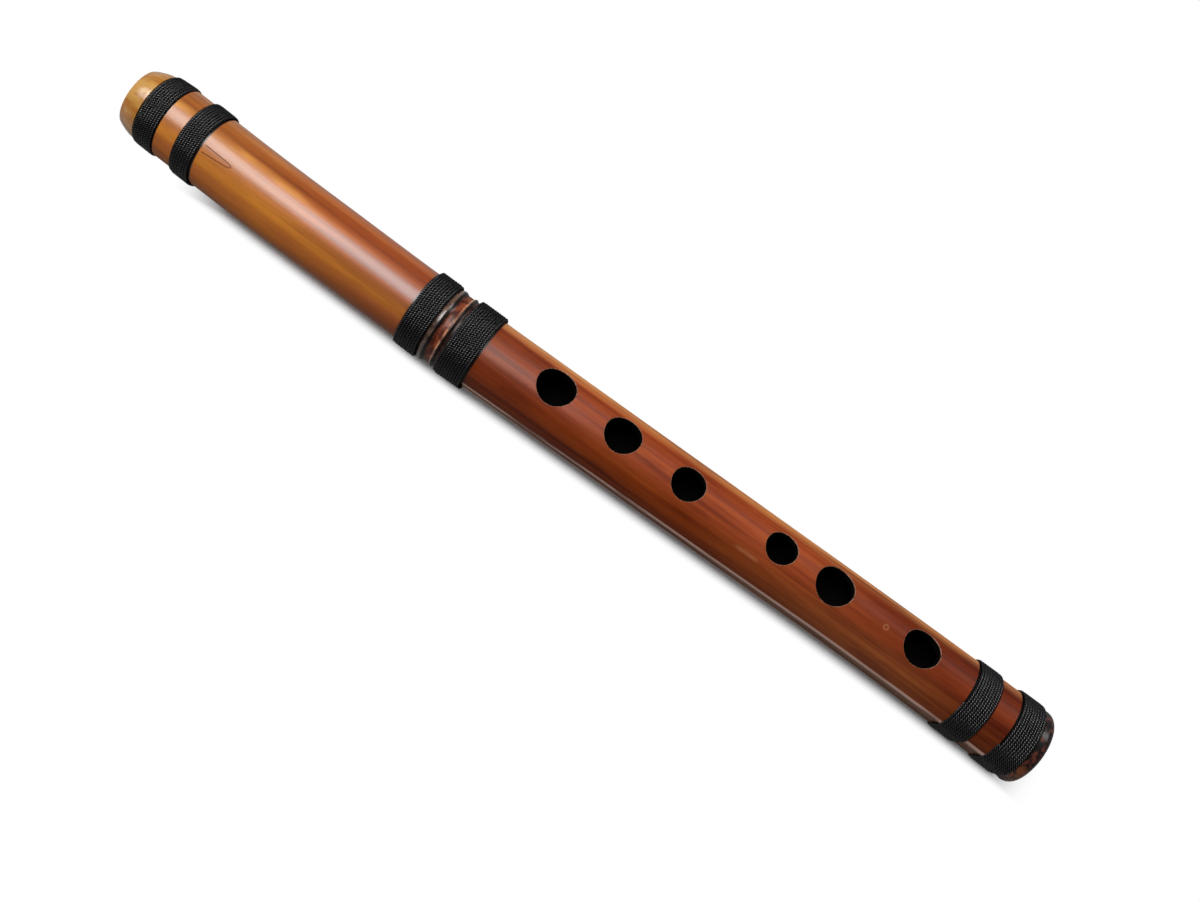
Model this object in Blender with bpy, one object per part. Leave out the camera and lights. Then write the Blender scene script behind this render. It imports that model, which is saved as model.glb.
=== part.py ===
"""A kawala: a bamboo flute, blown across its bevelled mouth, with six finger holes.

The flute lies along X with its mouth at -X and its finger holes facing +Z, and it rests on z = 0.
Six bindings of cord, wound tightly round the bamboo, keep it from splitting.
Each piece is shaped in the flute's own coordinates: x runs from the mouth along the axis, and the
axis is y = z = 0. An empty then sets the whole flute down. Lengths are in metres.
"""
import math
from collections import namedtuple

import bmesh
import bpy
from mathutils import Vector
from mathutils.geometry import convex_hull_2d

MM = 0.001

# The culm's stretches from mouth to foot, and its bend at the node
MOUTH_TO_NODE = 121.4 * MM
LAST_HOLE_TO_FOOT = 50.6 * MM
NODE_KINK = math.radians(1.4)

# The culm's cross-section, its swelling at the node, and its flare and bend at either end
SKIN_RADIUS = 12.2 * MM
WALL = 2.9 * MM
NODE_SWELLING = 0.15 * MM
NODE_SWELLING_REACH = 22.0 * MM
FOOT_FLARE = 0.9 * MM
FOOT_FLARE_REACH = 90.0 * MM
FOOT_SWEEP = 1.7 * MM
MOUTH_SWEEP = 1.3 * MM
MOUTH_SWEEP_REACH = 62.0 * MM

# The mouth: a thin rim to blow across, and the bevel that leads up to the skin
RIM_LAND = 0.6 * MM
MOUTH_BEVEL = 5.6 * MM
MOUTH_BEVEL_FULLNESS = 1.6
MOUTH_LAND = 0.6 * MM

# The foot: a rounded edge round a flat end
FOOT_ROUNDING = 2.7 * MM
FOOT_LIP = 1.8 * MM

# The node's two rings: the rounded ridge on its mouth side and the thin sheath scar on its foot side
RIDGE_TO_NODE = 2.2 * MM
RIDGE_HEIGHT = 0.6 * MM
RIDGE_HALF_WIDTH = 1.9 * MM
SCAR_TO_NODE = 2.1 * MM
SCAR_HEIGHT = 0.5 * MM
SCAR_HALF_WIDTH = 0.9 * MM

# The node's wall across the bore, which is pierced and leaves a ring
SEPTUM_HEIGHT = 0.9 * MM
SEPTUM_HALF_WIDTH = 3.0 * MM
FOOT_SEPTUM_LENGTH = 4.0 * MM

# The groove down the lower stretch: its bearing from the line of holes, and its size at each end
GROOVE_BEARING = math.radians(101.5)
GROOVE_WIDTH_AT_NODE = 5.6 * MM
GROOVE_WIDTH_AT_FOOT = 10.0 * MM
GROOVE_DEPTH_AT_NODE = 0.6 * MM
GROOVE_DEPTH_AT_FOOT = 1.9 * MM
GROOVE_SHARPNESS = 2.5
GROOVE_RUN_IN = 8.0 * MM

# Finger holes in millimetres, from mouth to foot: distance from the hole before, or from the node,
# then how far it lies to the side, its length along the tube and its width across it
FINGER_HOLES = (
    (38.8, 0.2, 13.0, 12.0),
    (25.4, 0.0, 12.3, 11.7),
    (25.2, -0.55, 11.5, 11.2),
    (35.1, 0.0, 10.7, 10.2),
    (20.2, 0.2, 13.1, 12.5),
    (33.5, 0.0, 13.5, 12.0),
)

# The cord and how it lies
CORD_THICKNESS = 1.15 * MM
CORD_PITCH = 0.88 * MM
CORD_VALLEY = 0.72 * MM
CORD_CLEARANCE = 0.3 * MM
MOUTH_BINDING_GAP = 6.85 * MM
FOOT_BINDING_GAP = 6.15 * MM
BINDING_TO_RIDGE = 1.2 * MM
BINDING_TO_SCAR = 1.45 * MM

# Bindings from mouth to foot: depth of its seat in millimetres, turns of cord, and the column of
# the mesh at which its cord starts and ends
BINDING_NAMES = (
    "binding_mouth_outer",
    "binding_mouth_inner",
    "binding_node_upper",
    "binding_node_lower",
    "binding_foot_inner",
    "binding_foot_outer",
)
SEAT_DEPTHS = (0.77, 0.48, 0.1, 0.15, 0.6, 0.6)
TURN_COUNTS = (8, 8, 9, 11, 11, 11)
SEAM_COLUMNS = (18, 9, 19, 9, 17, 18)

# Fineness of the meshes
COLUMNS = 32
COLUMN_STEP = 2 * math.pi / COLUMNS
GROOVE_COLUMNS = 7
HOLE_SEGMENTS = 28
BEVEL_ROWS = 6
FOOT_ROWS = 6
PLAIN_ROW_SPACING = 26.0 * MM

BAMBOO_COLOUR = (0.36, 0.105, 0.028, 1.0)
CORD_COLOUR = (0.012, 0.012, 0.014, 1.0)

BORE_RADIUS = SKIN_RADIUS - WALL
NODE_TO_FOOT = sum(hole[0] for hole in FINGER_HOLES) * MM + LAST_HOLE_TO_FOOT
LENGTH = MOUTH_TO_NODE + NODE_TO_FOOT
RIDGE_X = MOUTH_TO_NODE - RIDGE_TO_NODE
SCAR_X = MOUTH_TO_NODE + SCAR_TO_NODE
ROUNDING_X = LENGTH - FOOT_ROUNDING

Binding = namedtuple("Binding", "name turns seat seam left right")


def lay_out_bindings():
    """Place the bindings in pairs: by the mouth, on either side of the node, and by the foot."""
    spans = [(turns + 1) * CORD_PITCH for turns in TURN_COUNTS]
    mouth_outer = MOUTH_BEVEL + MOUTH_LAND
    mouth_inner = mouth_outer + spans[0] + MOUTH_BINDING_GAP
    node_upper = RIDGE_X - BINDING_TO_RIDGE - spans[2]
    node_lower = SCAR_X + BINDING_TO_SCAR
    foot_outer = ROUNDING_X - FOOT_LIP - spans[5]
    foot_inner = foot_outer - FOOT_BINDING_GAP - spans[4]
    lefts = (mouth_outer, mouth_inner, node_upper, node_lower, foot_inner, foot_outer)
    seats = [depth * MM for depth in SEAT_DEPTHS]
    rights = [left + span for left, span in zip(lefts, spans)]
    columns = zip(BINDING_NAMES, TURN_COUNTS, seats, SEAM_COLUMNS, lefts, rights)
    return [Binding(*values) for values in columns]


LAYOUT = lay_out_bindings()
NODE_LOWER = LAYOUT[3]
FOOT_INNER = LAYOUT[4]
FOOT_OUTER = LAYOUT[5]


def ramp(x, points):
    """Value at x on the straight lines through points, which are pairs in rising order."""
    if x <= points[0][0]:
        return points[0][1]
    for (x0, value0), (x1, value1) in zip(points, points[1:]):
        if x <= x1:
            return value0 + (value1 - value0) * (x - x0) / (x1 - x0)
    return points[-1][1]


def bump(x, centre, half_width):
    """Smooth hump of height 1 at centre that ends half_width away on either side."""
    reach = min(abs(x - centre) / half_width, 1.0)
    return math.cos(reach * math.pi / 2) ** 2


def towards_foot(x):
    """0 where the culm starts to flare and bend to the foot, growing to 1 where the foot's edge starts."""
    return max(0.0, 1.0 - (ROUNDING_X - x) / FOOT_FLARE_REACH)


def culm_radius(x):
    """Outer radius of the plain culm, without the node's rings."""
    swelling = NODE_SWELLING * bump(x, MOUTH_TO_NODE, NODE_SWELLING_REACH)
    return SKIN_RADIUS + swelling + FOOT_FLARE * towards_foot(x) ** 2


def skin_radius(x):
    """Outer radius of the culm with the ridge and the sheath scar of its node."""
    ridge = RIDGE_HEIGHT * bump(x, RIDGE_X, RIDGE_HALF_WIDTH)
    scar = SCAR_HEIGHT * bump(x, SCAR_X, SCAR_HALF_WIDTH)
    return culm_radius(x) + ridge + scar


def sway(x):
    """Sideways offset of the axis, which bends sharply at the node and gently near both ends."""
    offset = NODE_KINK * MOUTH_TO_NODE * NODE_TO_FOOT / LENGTH
    kink = offset * min(x / MOUTH_TO_NODE, (LENGTH - x) / NODE_TO_FOOT)
    towards_mouth = max(0.0, 1.0 - x / MOUTH_SWEEP_REACH)
    return MOUTH_SWEEP * towards_mouth ** 2 - kink - FOOT_SWEEP * towards_foot(x) ** 2


def groove_half_angle(x):
    """Half the groove's width as an angle round the axis."""
    width = ramp(x, (
        (NODE_LOWER.left, GROOVE_WIDTH_AT_NODE),
        (FOOT_INNER.left, GROOVE_WIDTH_AT_FOOT),
    ))
    return width / (2 * SKIN_RADIUS)


def groove_depth(x):
    """Depth of the groove: it starts under the node's lower binding and closes at the foot."""
    return ramp(x, (
        (NODE_LOWER.left, 0.0),
        (NODE_LOWER.left + GROOVE_RUN_IN, GROOVE_DEPTH_AT_NODE),
        (FOOT_INNER.left, GROOVE_DEPTH_AT_FOOT),
        (FOOT_OUTER.right, GROOVE_DEPTH_AT_FOOT),
        (ROUNDING_X, 0.0),
    ))


def groove_cut(x, angle):
    """How far the groove lies below the round skin at this angle from the line of holes."""
    across = min(abs(angle - GROOVE_BEARING) / groove_half_angle(x), 1.0)
    return groove_depth(x) * (1.0 - across ** GROOVE_SHARPNESS)


def ring_angles():
    """Evenly spread angles from the line of holes, with one side of the ring lying flat beneath."""
    return [(column + 0.5) * COLUMN_STEP for column in range(COLUMNS)]


def tube_angles(x):
    """The ring's angles, with those near the groove replaced by columns that follow its width."""
    widest = GROOVE_WIDTH_AT_FOOT / (2 * SKIN_RADIUS)
    keep_off = widest + COLUMN_STEP / 4
    plain = [angle for angle in ring_angles() if abs(angle - GROOVE_BEARING) > keep_off]
    half_angle = groove_half_angle(x)
    middle = (GROOVE_COLUMNS - 1) / 2
    follow = [GROOVE_BEARING + half_angle * (i - middle) / middle for i in range(GROOVE_COLUMNS)]
    return sorted(plain + follow)


def place(x, radius, angle):
    """Point at this radius and angle: angle 0 is the line of holes, and it turns towards -Y."""
    return Vector((x, sway(x) - radius * math.sin(angle), radius * math.cos(angle)))


def taut_radii(x, seat):
    """Radius at each ring angle of a cord pulled taut round the seat, so that it bridges the groove."""
    section = []
    for angle in tube_angles(x):
        radius = culm_radius(x) - seat - groove_cut(x, angle)
        section.append(Vector((radius * math.sin(angle), radius * math.cos(angle))))
    hull = [section[index] for index in convex_hull_2d(section)]
    edges = []
    for start, end in zip(hull, hull[1:] + hull[:1]):
        normal = Vector((end.y - start.y, start.x - end.x))
        if normal.dot(start) < 0:
            normal.negate()
        edges.append((normal, normal.dot(start)))
    radii = []
    for angle in ring_angles():
        ray = Vector((math.sin(angle), math.cos(angle)))
        radii.append(min(reach / normal.dot(ray) for normal, reach in edges if normal.dot(ray) > 0))
    return radii


def bend_stations():
    """Places near both ends where the axis bends, so that skin and bore bend there together."""
    stations = [part * MOUTH_SWEEP_REACH for part in (0.5, 1.0)]
    for part in (0.25, 0.5, 0.75, 1.0):
        stations.append(ROUNDING_X - part * FOOT_FLARE_REACH)
    return stations


def feature_stations():
    """Places along the culm where its outline turns, so that the mesh has a row there."""
    stations = [MOUTH_TO_NODE, NODE_LOWER.left + GROOVE_RUN_IN, *bend_stations()]
    for part in (-0.5, 0.0, 0.5, 1.0):
        stations.append(RIDGE_X + part * RIDGE_HALF_WIDTH)
    for part in (-1.0, -0.5, 0.0, 0.5, 1.0):
        stations.append(SCAR_X + part * SCAR_HALF_WIDTH)
    for part in (-1.0, -0.65, 0.65, 1.0):
        stations.append(MOUTH_TO_NODE + part * NODE_SWELLING_REACH)
    rows = int(LENGTH / PLAIN_ROW_SPACING)
    stations.extend(LENGTH * row / rows for row in range(1, rows))
    return sorted(stations)


def plain_rows(start, end):
    """Rows of the skin from start to end, thinned where two features fall close together."""
    shortest = SCAR_HALF_WIDTH / 3
    rows = [start]
    for x in feature_stations():
        if rows[-1] + shortest < x < end - shortest:
            rows.append(x)
    rows.append(end)
    return [(x, skin_radius(x)) for x in rows]


def outer_rows():
    """The outside of the culm from rim to foot, as pairs of station and radius."""
    rim_radius = BORE_RADIUS + RIM_LAND
    rows = []
    for row in range(BEVEL_ROWS):
        part = row / BEVEL_ROWS
        rise = 1.0 - (1.0 - part) ** MOUTH_BEVEL_FULLNESS
        rows.append((part * MOUTH_BEVEL, rim_radius + rise * (SKIN_RADIUS - rim_radius)))
    start = MOUTH_BEVEL
    for binding in LAYOUT:
        seat_start = binding.left - CORD_CLEARANCE
        seat_end = binding.right + CORD_CLEARANCE
        rows.extend(plain_rows(start, seat_start))
        rows.append((seat_start, culm_radius(seat_start) - binding.seat))
        rows.append((seat_end, culm_radius(seat_end) - binding.seat))
        start = seat_end
    rows.extend(plain_rows(start, ROUNDING_X))
    for row in range(1, FOOT_ROWS):
        turn = math.pi / 2 * row / (FOOT_ROWS - 1)
        inset = FOOT_ROUNDING * (1.0 - math.cos(turn))
        rows.append((ROUNDING_X + FOOT_ROUNDING * math.sin(turn), skin_radius(ROUNDING_X) - inset))
    return rows


def bore_rows():
    """The bore from rim to foot, narrowed by the ring that each pierced wall leaves."""
    septum_radius = BORE_RADIUS - SEPTUM_HEIGHT
    crest = 0.4 * SEPTUM_HALF_WIDTH
    foot_septum = LENGTH - FOOT_SEPTUM_LENGTH
    rows = [
        (0.0, BORE_RADIUS),
        (MOUTH_TO_NODE - SEPTUM_HALF_WIDTH, BORE_RADIUS),
        (MOUTH_TO_NODE - crest, septum_radius),
        (MOUTH_TO_NODE, septum_radius),
        (MOUTH_TO_NODE + crest, septum_radius),
        (MOUTH_TO_NODE + SEPTUM_HALF_WIDTH, BORE_RADIUS),
        (foot_septum - SEPTUM_HALF_WIDTH, BORE_RADIUS),
        (foot_septum, septum_radius),
        (LENGTH, septum_radius),
    ]
    for x in bend_stations():
        if abs(x - MOUTH_TO_NODE) > SEPTUM_HALF_WIDTH and x < foot_septum - SEPTUM_HALF_WIDTH:
            rows.append((x, BORE_RADIUS))
    return sorted(rows)


def material(name, colour, roughness):
    """A Principled material that isn't metallic."""
    finish = bpy.data.materials.new(name)
    finish.use_nodes = True
    shader = finish.node_tree.nodes["Principled BSDF"]
    shader.inputs["Base Color"].default_value = colour
    shader.inputs["Roughness"].default_value = roughness
    shader.inputs["Metallic"].default_value = 0.0
    finish.diffuse_color = colour
    return finish


def finish_object(name, shape, finish, sharp_angle):
    """Turn a bmesh into a named object, its faces outwards, shaded smooth up to sharp_angle."""
    bmesh.ops.recalc_face_normals(shape, faces=shape.faces)
    mesh = bpy.data.meshes.new(name)
    shape.to_mesh(mesh)
    shape.free()
    mesh.shade_smooth()
    mesh.set_sharp_from_angle(angle=sharp_angle)
    if finish is not None:
        mesh.materials.append(finish)
    piece = bpy.data.objects.new(name, mesh)
    bpy.context.scene.collection.objects.link(piece)
    return piece


def make_tube():
    """The bamboo, as one skin that runs along the outside and back through the bore."""
    shape = bmesh.new()
    rings = []
    for x, radius in outer_rows():
        ring = []
        for angle in tube_angles(x):
            depth = groove_cut(x, angle)
            ring.append(shape.verts.new(place(x, radius - depth, angle)))
        rings.append(ring)
    for x, radius in reversed(bore_rows()):
        rings.append([shape.verts.new(place(x, radius, angle)) for angle in tube_angles(x)])
    for ring, after in zip(rings, rings[1:] + rings[:1]):
        for i in range(len(ring)):
            following = (i + 1) % len(ring)
            shape.faces.new((ring[i], ring[following], after[following], after[i]))
    bamboo = material("lacquered_bamboo", BAMBOO_COLOUR, 0.28)
    return finish_object("bamboo_tube", shape, bamboo, math.radians(30))


def make_hole_cutter():
    """Six upright oval bars, one through the top wall at each finger hole."""
    shape = bmesh.new()
    top = SKIN_RADIUS + FOOT_FLARE + RIDGE_HEIGHT
    x = MOUTH_TO_NODE
    for spacing, sideways, length, width in FINGER_HOLES:
        x += spacing * MM
        low_ring = []
        high_ring = []
        for segment in range(HOLE_SEGMENTS):
            turn = 2 * math.pi * segment / HOLE_SEGMENTS
            along = x + length * MM / 2 * math.cos(turn)
            across = sway(x) + sideways * MM + width * MM / 2 * math.sin(turn)
            low_ring.append(shape.verts.new((along, across, 0.0)))
            high_ring.append(shape.verts.new((along, across, top)))
        for i in range(HOLE_SEGMENTS):
            following = (i + 1) % HOLE_SEGMENTS
            shape.faces.new((low_ring[i], low_ring[following], high_ring[following], high_ring[i]))
        shape.faces.new(low_ring)
        shape.faces.new(high_ring)
    cutter = finish_object("finger_hole_cutter", shape, None, math.radians(30))
    cutter.hide_render = True
    cutter.display_type = "WIRE"
    return cutter


def pierce(tube, cutter):
    """Cut the finger holes through the tube's top wall."""
    holes = tube.modifiers.new("finger_holes", "BOOLEAN")
    holes.operation = "DIFFERENCE"
    holes.solver = "EXACT"
    holes.object = cutter


def make_binding(binding):
    """One cord wound in touching turns, each turn fused to the next along the valley between them.

    Rows run along the cord, so a row that has gone once round meets the row of the next turn. Seen
    from the mouth the cord winds anticlockwise as it goes towards the foot.
    The cord's two ends show as small steps at the seam.
    """
    shape = bmesh.new()
    last = binding.turns
    left_radii = taut_radii(binding.left, binding.seat)
    right_radii = taut_radii(binding.right, binding.seat)

    def corner(turn, column, height):
        """Vertex at this many turns from the start, at this height above the cord's underside."""
        x = binding.left + CORD_PITCH * (turn + column / COLUMNS)
        index = (binding.seam - column) % COLUMNS
        part = (x - binding.left) / (binding.right - binding.left)
        under = left_radii[index] + part * (right_radii[index] - left_radii[index]) + CORD_CLEARANCE
        return shape.verts.new(place(x, under + height, ring_angles()[index]))

    top = {}
    for half_turn in range(2 * last + 1):
        height = CORD_THICKNESS if half_turn % 2 else CORD_VALLEY
        for column in range(COLUMNS):
            top[half_turn, column] = corner(half_turn / 2, column, height)
    for half_turn in range(2 * last + 1):
        if half_turn + 2 <= 2 * last:
            top[half_turn, COLUMNS] = top[half_turn + 2, 0]
        else:
            height = CORD_THICKNESS if half_turn % 2 else CORD_VALLEY
            top[half_turn, COLUMNS] = corner(half_turn / 2, COLUMNS, height)
    first_under = [corner(0, column, 0.0) for column in range(COLUMNS + 1)]
    last_under = [corner(last, column, 0.0) for column in range(COLUMNS + 1)]

    for half_turn in range(2 * last):
        for column in range(COLUMNS):
            shape.faces.new((
                top[half_turn, column], top[half_turn, column + 1],
                top[half_turn + 1, column + 1], top[half_turn + 1, column],
            ))
    for column in range(COLUMNS):
        shape.faces.new((
            first_under[column], first_under[column + 1], top[0, column + 1], top[0, column],
        ))
        shape.faces.new((
            last_under[column], last_under[column + 1], top[2 * last, column + 1], top[2 * last, column],
        ))
    for column in range(1, COLUMNS - 1):
        shape.faces.new((
            first_under[column], first_under[column + 1], last_under[column + 1], last_under[column],
        ))
    before_seam = COLUMNS - 1
    shape.faces.new((first_under[0], first_under[1], first_under[COLUMNS]))
    shape.faces.new((first_under[1], last_under[1], first_under[COLUMNS]))
    shape.faces.new((last_under[1], last_under[0], first_under[COLUMNS]))
    shape.faces.new((first_under[before_seam], first_under[COLUMNS], last_under[0]))
    shape.faces.new((first_under[before_seam], last_under[0], last_under[before_seam]))
    shape.faces.new((last_under[before_seam], last_under[0], last_under[COLUMNS]))
    shape.faces.new((first_under[0], top[0, 0], top[1, 0], top[2, 0], first_under[COLUMNS]))
    shape.faces.new((
        last_under[0], top[2 * last, 0], top[2 * last - 1, COLUMNS], top[2 * last, COLUMNS],
        last_under[COLUMNS],
    ))
    cord = material(binding.name + "_cord", CORD_COLOUR, 0.55)
    return finish_object(binding.name, shape, cord, math.radians(100))


def set_down(pieces, cutter):
    """Parent everything to one empty that puts the bottom centre of the flute's box at the origin."""
    corners = [vertex.co for piece in pieces for vertex in piece.data.vertices]
    low = Vector([min(corner[axis] for corner in corners) for axis in range(3)])
    high = Vector([max(corner[axis] for corner in corners) for axis in range(3)])
    flute = bpy.data.objects.new("flute", None)
    flute.location = (-(low.x + high.x) / 2, -(low.y + high.y) / 2, -low.z)
    bpy.context.scene.collection.objects.link(flute)
    for piece in (*pieces, cutter):
        piece.parent = flute


def main():
    for leftover in list(bpy.data.objects):
        bpy.data.objects.remove(leftover, do_unlink=True)
    tube = make_tube()
    cutter = make_hole_cutter()
    pierce(tube, cutter)
    bindings = [make_binding(binding) for binding in LAYOUT]
    set_down([tube, *bindings], cutter)


main()
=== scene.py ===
# %% [markdown]
# A kawala is a length of bamboo that is blown across its open, bevelled end. Its skin is stained
# and lacquered, its six finger holes are burnt through, and six bindings of black cord keep it
# from splitting. The solids of the part already hold every size, so they come in first as a fixed
# frame, and finer meshes are shaped round them. Work in metres and read what you can from the
# frame, and every later piece falls into place without moving anything by hand.

# %% The frame and the sizes read from it
import math

import bmesh
import bpy
import numpy as np
from mathutils import Matrix, Vector, noise


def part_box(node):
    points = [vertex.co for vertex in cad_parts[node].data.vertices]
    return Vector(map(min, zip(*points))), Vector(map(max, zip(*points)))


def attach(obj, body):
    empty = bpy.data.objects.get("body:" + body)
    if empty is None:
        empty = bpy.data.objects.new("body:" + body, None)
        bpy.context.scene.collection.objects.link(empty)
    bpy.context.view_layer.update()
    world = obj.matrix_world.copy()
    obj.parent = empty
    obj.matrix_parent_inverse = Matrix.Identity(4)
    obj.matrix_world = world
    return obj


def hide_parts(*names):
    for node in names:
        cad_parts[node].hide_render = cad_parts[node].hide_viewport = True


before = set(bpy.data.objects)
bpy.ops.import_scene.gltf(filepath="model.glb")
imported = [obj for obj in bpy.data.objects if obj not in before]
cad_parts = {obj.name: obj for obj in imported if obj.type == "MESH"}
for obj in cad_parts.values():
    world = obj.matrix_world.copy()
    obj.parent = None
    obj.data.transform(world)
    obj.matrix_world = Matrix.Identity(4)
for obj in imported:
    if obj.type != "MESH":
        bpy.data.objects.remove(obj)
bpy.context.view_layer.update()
MM = 0.001
tube_low, tube_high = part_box("bamboo_tube")
MOUTH = tube_low.x
FOOT = tube_high.x
LENGTH = FOOT - MOUTH
print(f"the flute is {LENGTH / MM:.1f} mm long")

# %% [markdown]
# The culm is not a plain cylinder. It bends by a degree or so at its node and a little near both
# ends, swells at the node, flares towards the foot and is pared thinner at the mouth. Each of
# these could be modelled with a separate tool, but small functions of the place along the tube
# are easier to change: one loop over rings then shapes the whole skin, and the bindings can ask
# the same functions where it is.

# %% The culm's own sizes
AXIS_HEIGHT = 13.825 * MM
AXIS_SIDE = 0.865 * MM
NODE = MOUTH + 121.4 * MM
NODE_KINK = math.radians(1.4)
SKIN_RADIUS = 12.2 * MM
WALL = 2.9 * MM
BORE_RADIUS = SKIN_RADIUS - WALL
NODE_SWELLING = 0.15 * MM
NODE_SWELLING_REACH = 22.0 * MM
FOOT_FLARE = 0.9 * MM
FOOT_FLARE_REACH = 90.0 * MM
FOOT_SWEEP = 1.7 * MM
MOUTH_SWEEP = 1.3 * MM
MOUTH_SWEEP_REACH = 62.0 * MM
MOUTH_PARING = 1.1 * MM
MOUTH_PARING_REACH = 16.0 * MM
MOUTH_LEAN = 1.0 * MM
MOUTH_LEAN_REACH = 20.0 * MM
FOOT_ROUNDING = 2.7 * MM
ROUNDING = FOOT - FOOT_ROUNDING


def bump(x, centre, half_width):
    """Smooth hump of height 1 at centre that ends half_width away on either side."""
    reach = min(abs(x - centre) / half_width, 1.0)
    return math.cos(reach * math.pi / 2) ** 2


def ramp(x, points):
    """Value at x on the straight lines through points, which are pairs in rising order."""
    return float(np.interp(x, [point[0] for point in points], [point[1] for point in points]))


def towards_foot(x):
    """0 where the culm starts to flare, growing to 1 where the foot's edge starts to round."""
    return max(0.0, 1.0 - (ROUNDING - x) / FOOT_FLARE_REACH)


def culm_radius(x):
    """Outer radius of the plain culm, without the node's rings."""
    swelling = NODE_SWELLING * bump(x, NODE, NODE_SWELLING_REACH)
    near_mouth = max(0.0, 1.0 - (x - MOUTH) / MOUTH_PARING_REACH)
    return SKIN_RADIUS + swelling + FOOT_FLARE * towards_foot(x) ** 2 - MOUTH_PARING * near_mouth ** 2


def sway(x):
    """Sideways place of the axis, which bends sharply at the node and gently near both ends."""
    upper = NODE - MOUTH
    lower = FOOT - NODE
    kink = NODE_KINK * upper * lower / LENGTH * min((x - MOUTH) / upper, (FOOT - x) / lower)
    towards_mouth = max(0.0, 1.0 - (x - MOUTH) / MOUTH_SWEEP_REACH)
    sweep = MOUTH_SWEEP * towards_mouth ** 2 - FOOT_SWEEP * towards_foot(x) ** 2
    lean = MOUTH_LEAN * max(0.0, 1.0 - (x - MOUTH) / MOUTH_LEAN_REACH) ** 2
    return AXIS_SIDE + sweep - kink - lean


def place(x, radius, angle):
    """Point at this radius and angle: angle 0 is the line of holes, and it turns towards -Y."""
    return (x, sway(x) - radius * math.sin(angle), AXIS_HEIGHT + radius * math.cos(angle))


print(f"radius at the mouth {culm_radius(MOUTH) / MM:.2f} mm, at the foot {culm_radius(FOOT) / MM:.2f} mm")

# %% [markdown]
# Every bamboo internode has a groove above the branch at its lower node. On this one it is widest
# and deepest at the foot and fades upwards. Its section is a rounded trough with fairly sharp
# lips, so the cut is written as one minus a power: a higher power would make a squarer trough.

# %% The groove
node_lower_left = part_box("binding_node_lower")[0].x
foot_inner_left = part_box("binding_foot_inner")[0].x
foot_outer_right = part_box("binding_foot_outer")[1].x
GROOVE_BEARING = math.radians(101.5)
GROOVE_SHARPNESS = 2.5
GROOVE_WIDTHS = ((node_lower_left, 2.2 * MM), (foot_inner_left, 9.3 * MM))
GROOVE_DEPTHS = (
    (node_lower_left, 0.0),
    (node_lower_left + 8.0 * MM, 0.3 * MM),
    (foot_inner_left, 1.3 * MM),
    (foot_outer_right, 1.3 * MM),
    (ROUNDING, 0.0),
)


def groove_cut(x, angle):
    """How far the groove lies below the round skin."""
    half_angle = ramp(x, GROOVE_WIDTHS) / (2 * SKIN_RADIUS)
    across = min(abs(angle - GROOVE_BEARING) / half_angle, 1.0)
    return ramp(x, GROOVE_DEPTHS) * (1.0 - across ** GROOVE_SHARPNESS)


print(f"the groove is {GROOVE_DEPTHS[2][1] / MM:.1f} mm deep at the foot")

# %% [markdown]
# Four of the bindings lie in seats pared into the skin, deepest at the mouth, where the end of
# the flute tapers. The two at the foot start a little later than their solids do. The bevel to
# the blowing rim, the ridge and the sheath scar of the node, and the rounded foot are changes of
# radius too, so each is only a few rows of the same list.

# %% The rows of the skin
RIM_LAND = 0.6 * MM
MOUTH_BEVEL = 5.6 * MM
MOUTH_BEVEL_FULLNESS = 1.6
RIDGE = NODE - 2.2 * MM
RIDGE_HEIGHT = 0.6 * MM
RIDGE_HALF_WIDTH = 1.9 * MM
SCAR = NODE + 2.1 * MM
SCAR_HEIGHT = 0.5 * MM
SCAR_HALF_WIDTH = 0.9 * MM
BEVEL_ROWS = 18
FOOT_ROWS = 9
ROW_SPACING = 1.4 * MM
NODE_ROW_SPACING = 0.22 * MM
NODE_REACH = 5.5 * MM
SEAT_STEP = 0.05 * MM
SEAT_DEPTHS = (
    ("binding_mouth_outer", 0.47 * MM),
    ("binding_mouth_inner", 0.18 * MM),
    ("binding_foot_inner", 0.30 * MM),
    ("binding_foot_outer", 0.30 * MM),
)
START_LATER = dict.fromkeys(("binding_foot_inner", "binding_foot_outer"), 1.16 * MM)


def binding_span(name):
    """Both ends of a cord: those of its solid, but the cords at the foot start later."""
    low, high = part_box(name)
    return low.x + START_LATER.get(name, 0.0), high.x


SEATS = [(*binding_span(name), depth) for name, depth in SEAT_DEPTHS]


def recess(x):
    """Depth of the seat that lets a binding into the skin."""
    for left, right, depth in SEATS:
        if left < x < right:
            return depth
    return 0.0


def skin_stations():
    """Places of the rows between the bevel and the foot's edge."""
    stations = list(np.arange(MOUTH + MOUTH_BEVEL, ROUNDING, ROW_SPACING))
    stations += list(np.arange(NODE - NODE_REACH, NODE + NODE_REACH, NODE_ROW_SPACING))
    for left, right, _ in SEATS:
        stations += [left - SEAT_STEP, left + SEAT_STEP, right - SEAT_STEP, right + SEAT_STEP]
    stations.sort()
    kept = stations[:1]
    for x in stations[1:]:
        if x - kept[-1] > SEAT_STEP:
            kept.append(x)
    return kept


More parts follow.
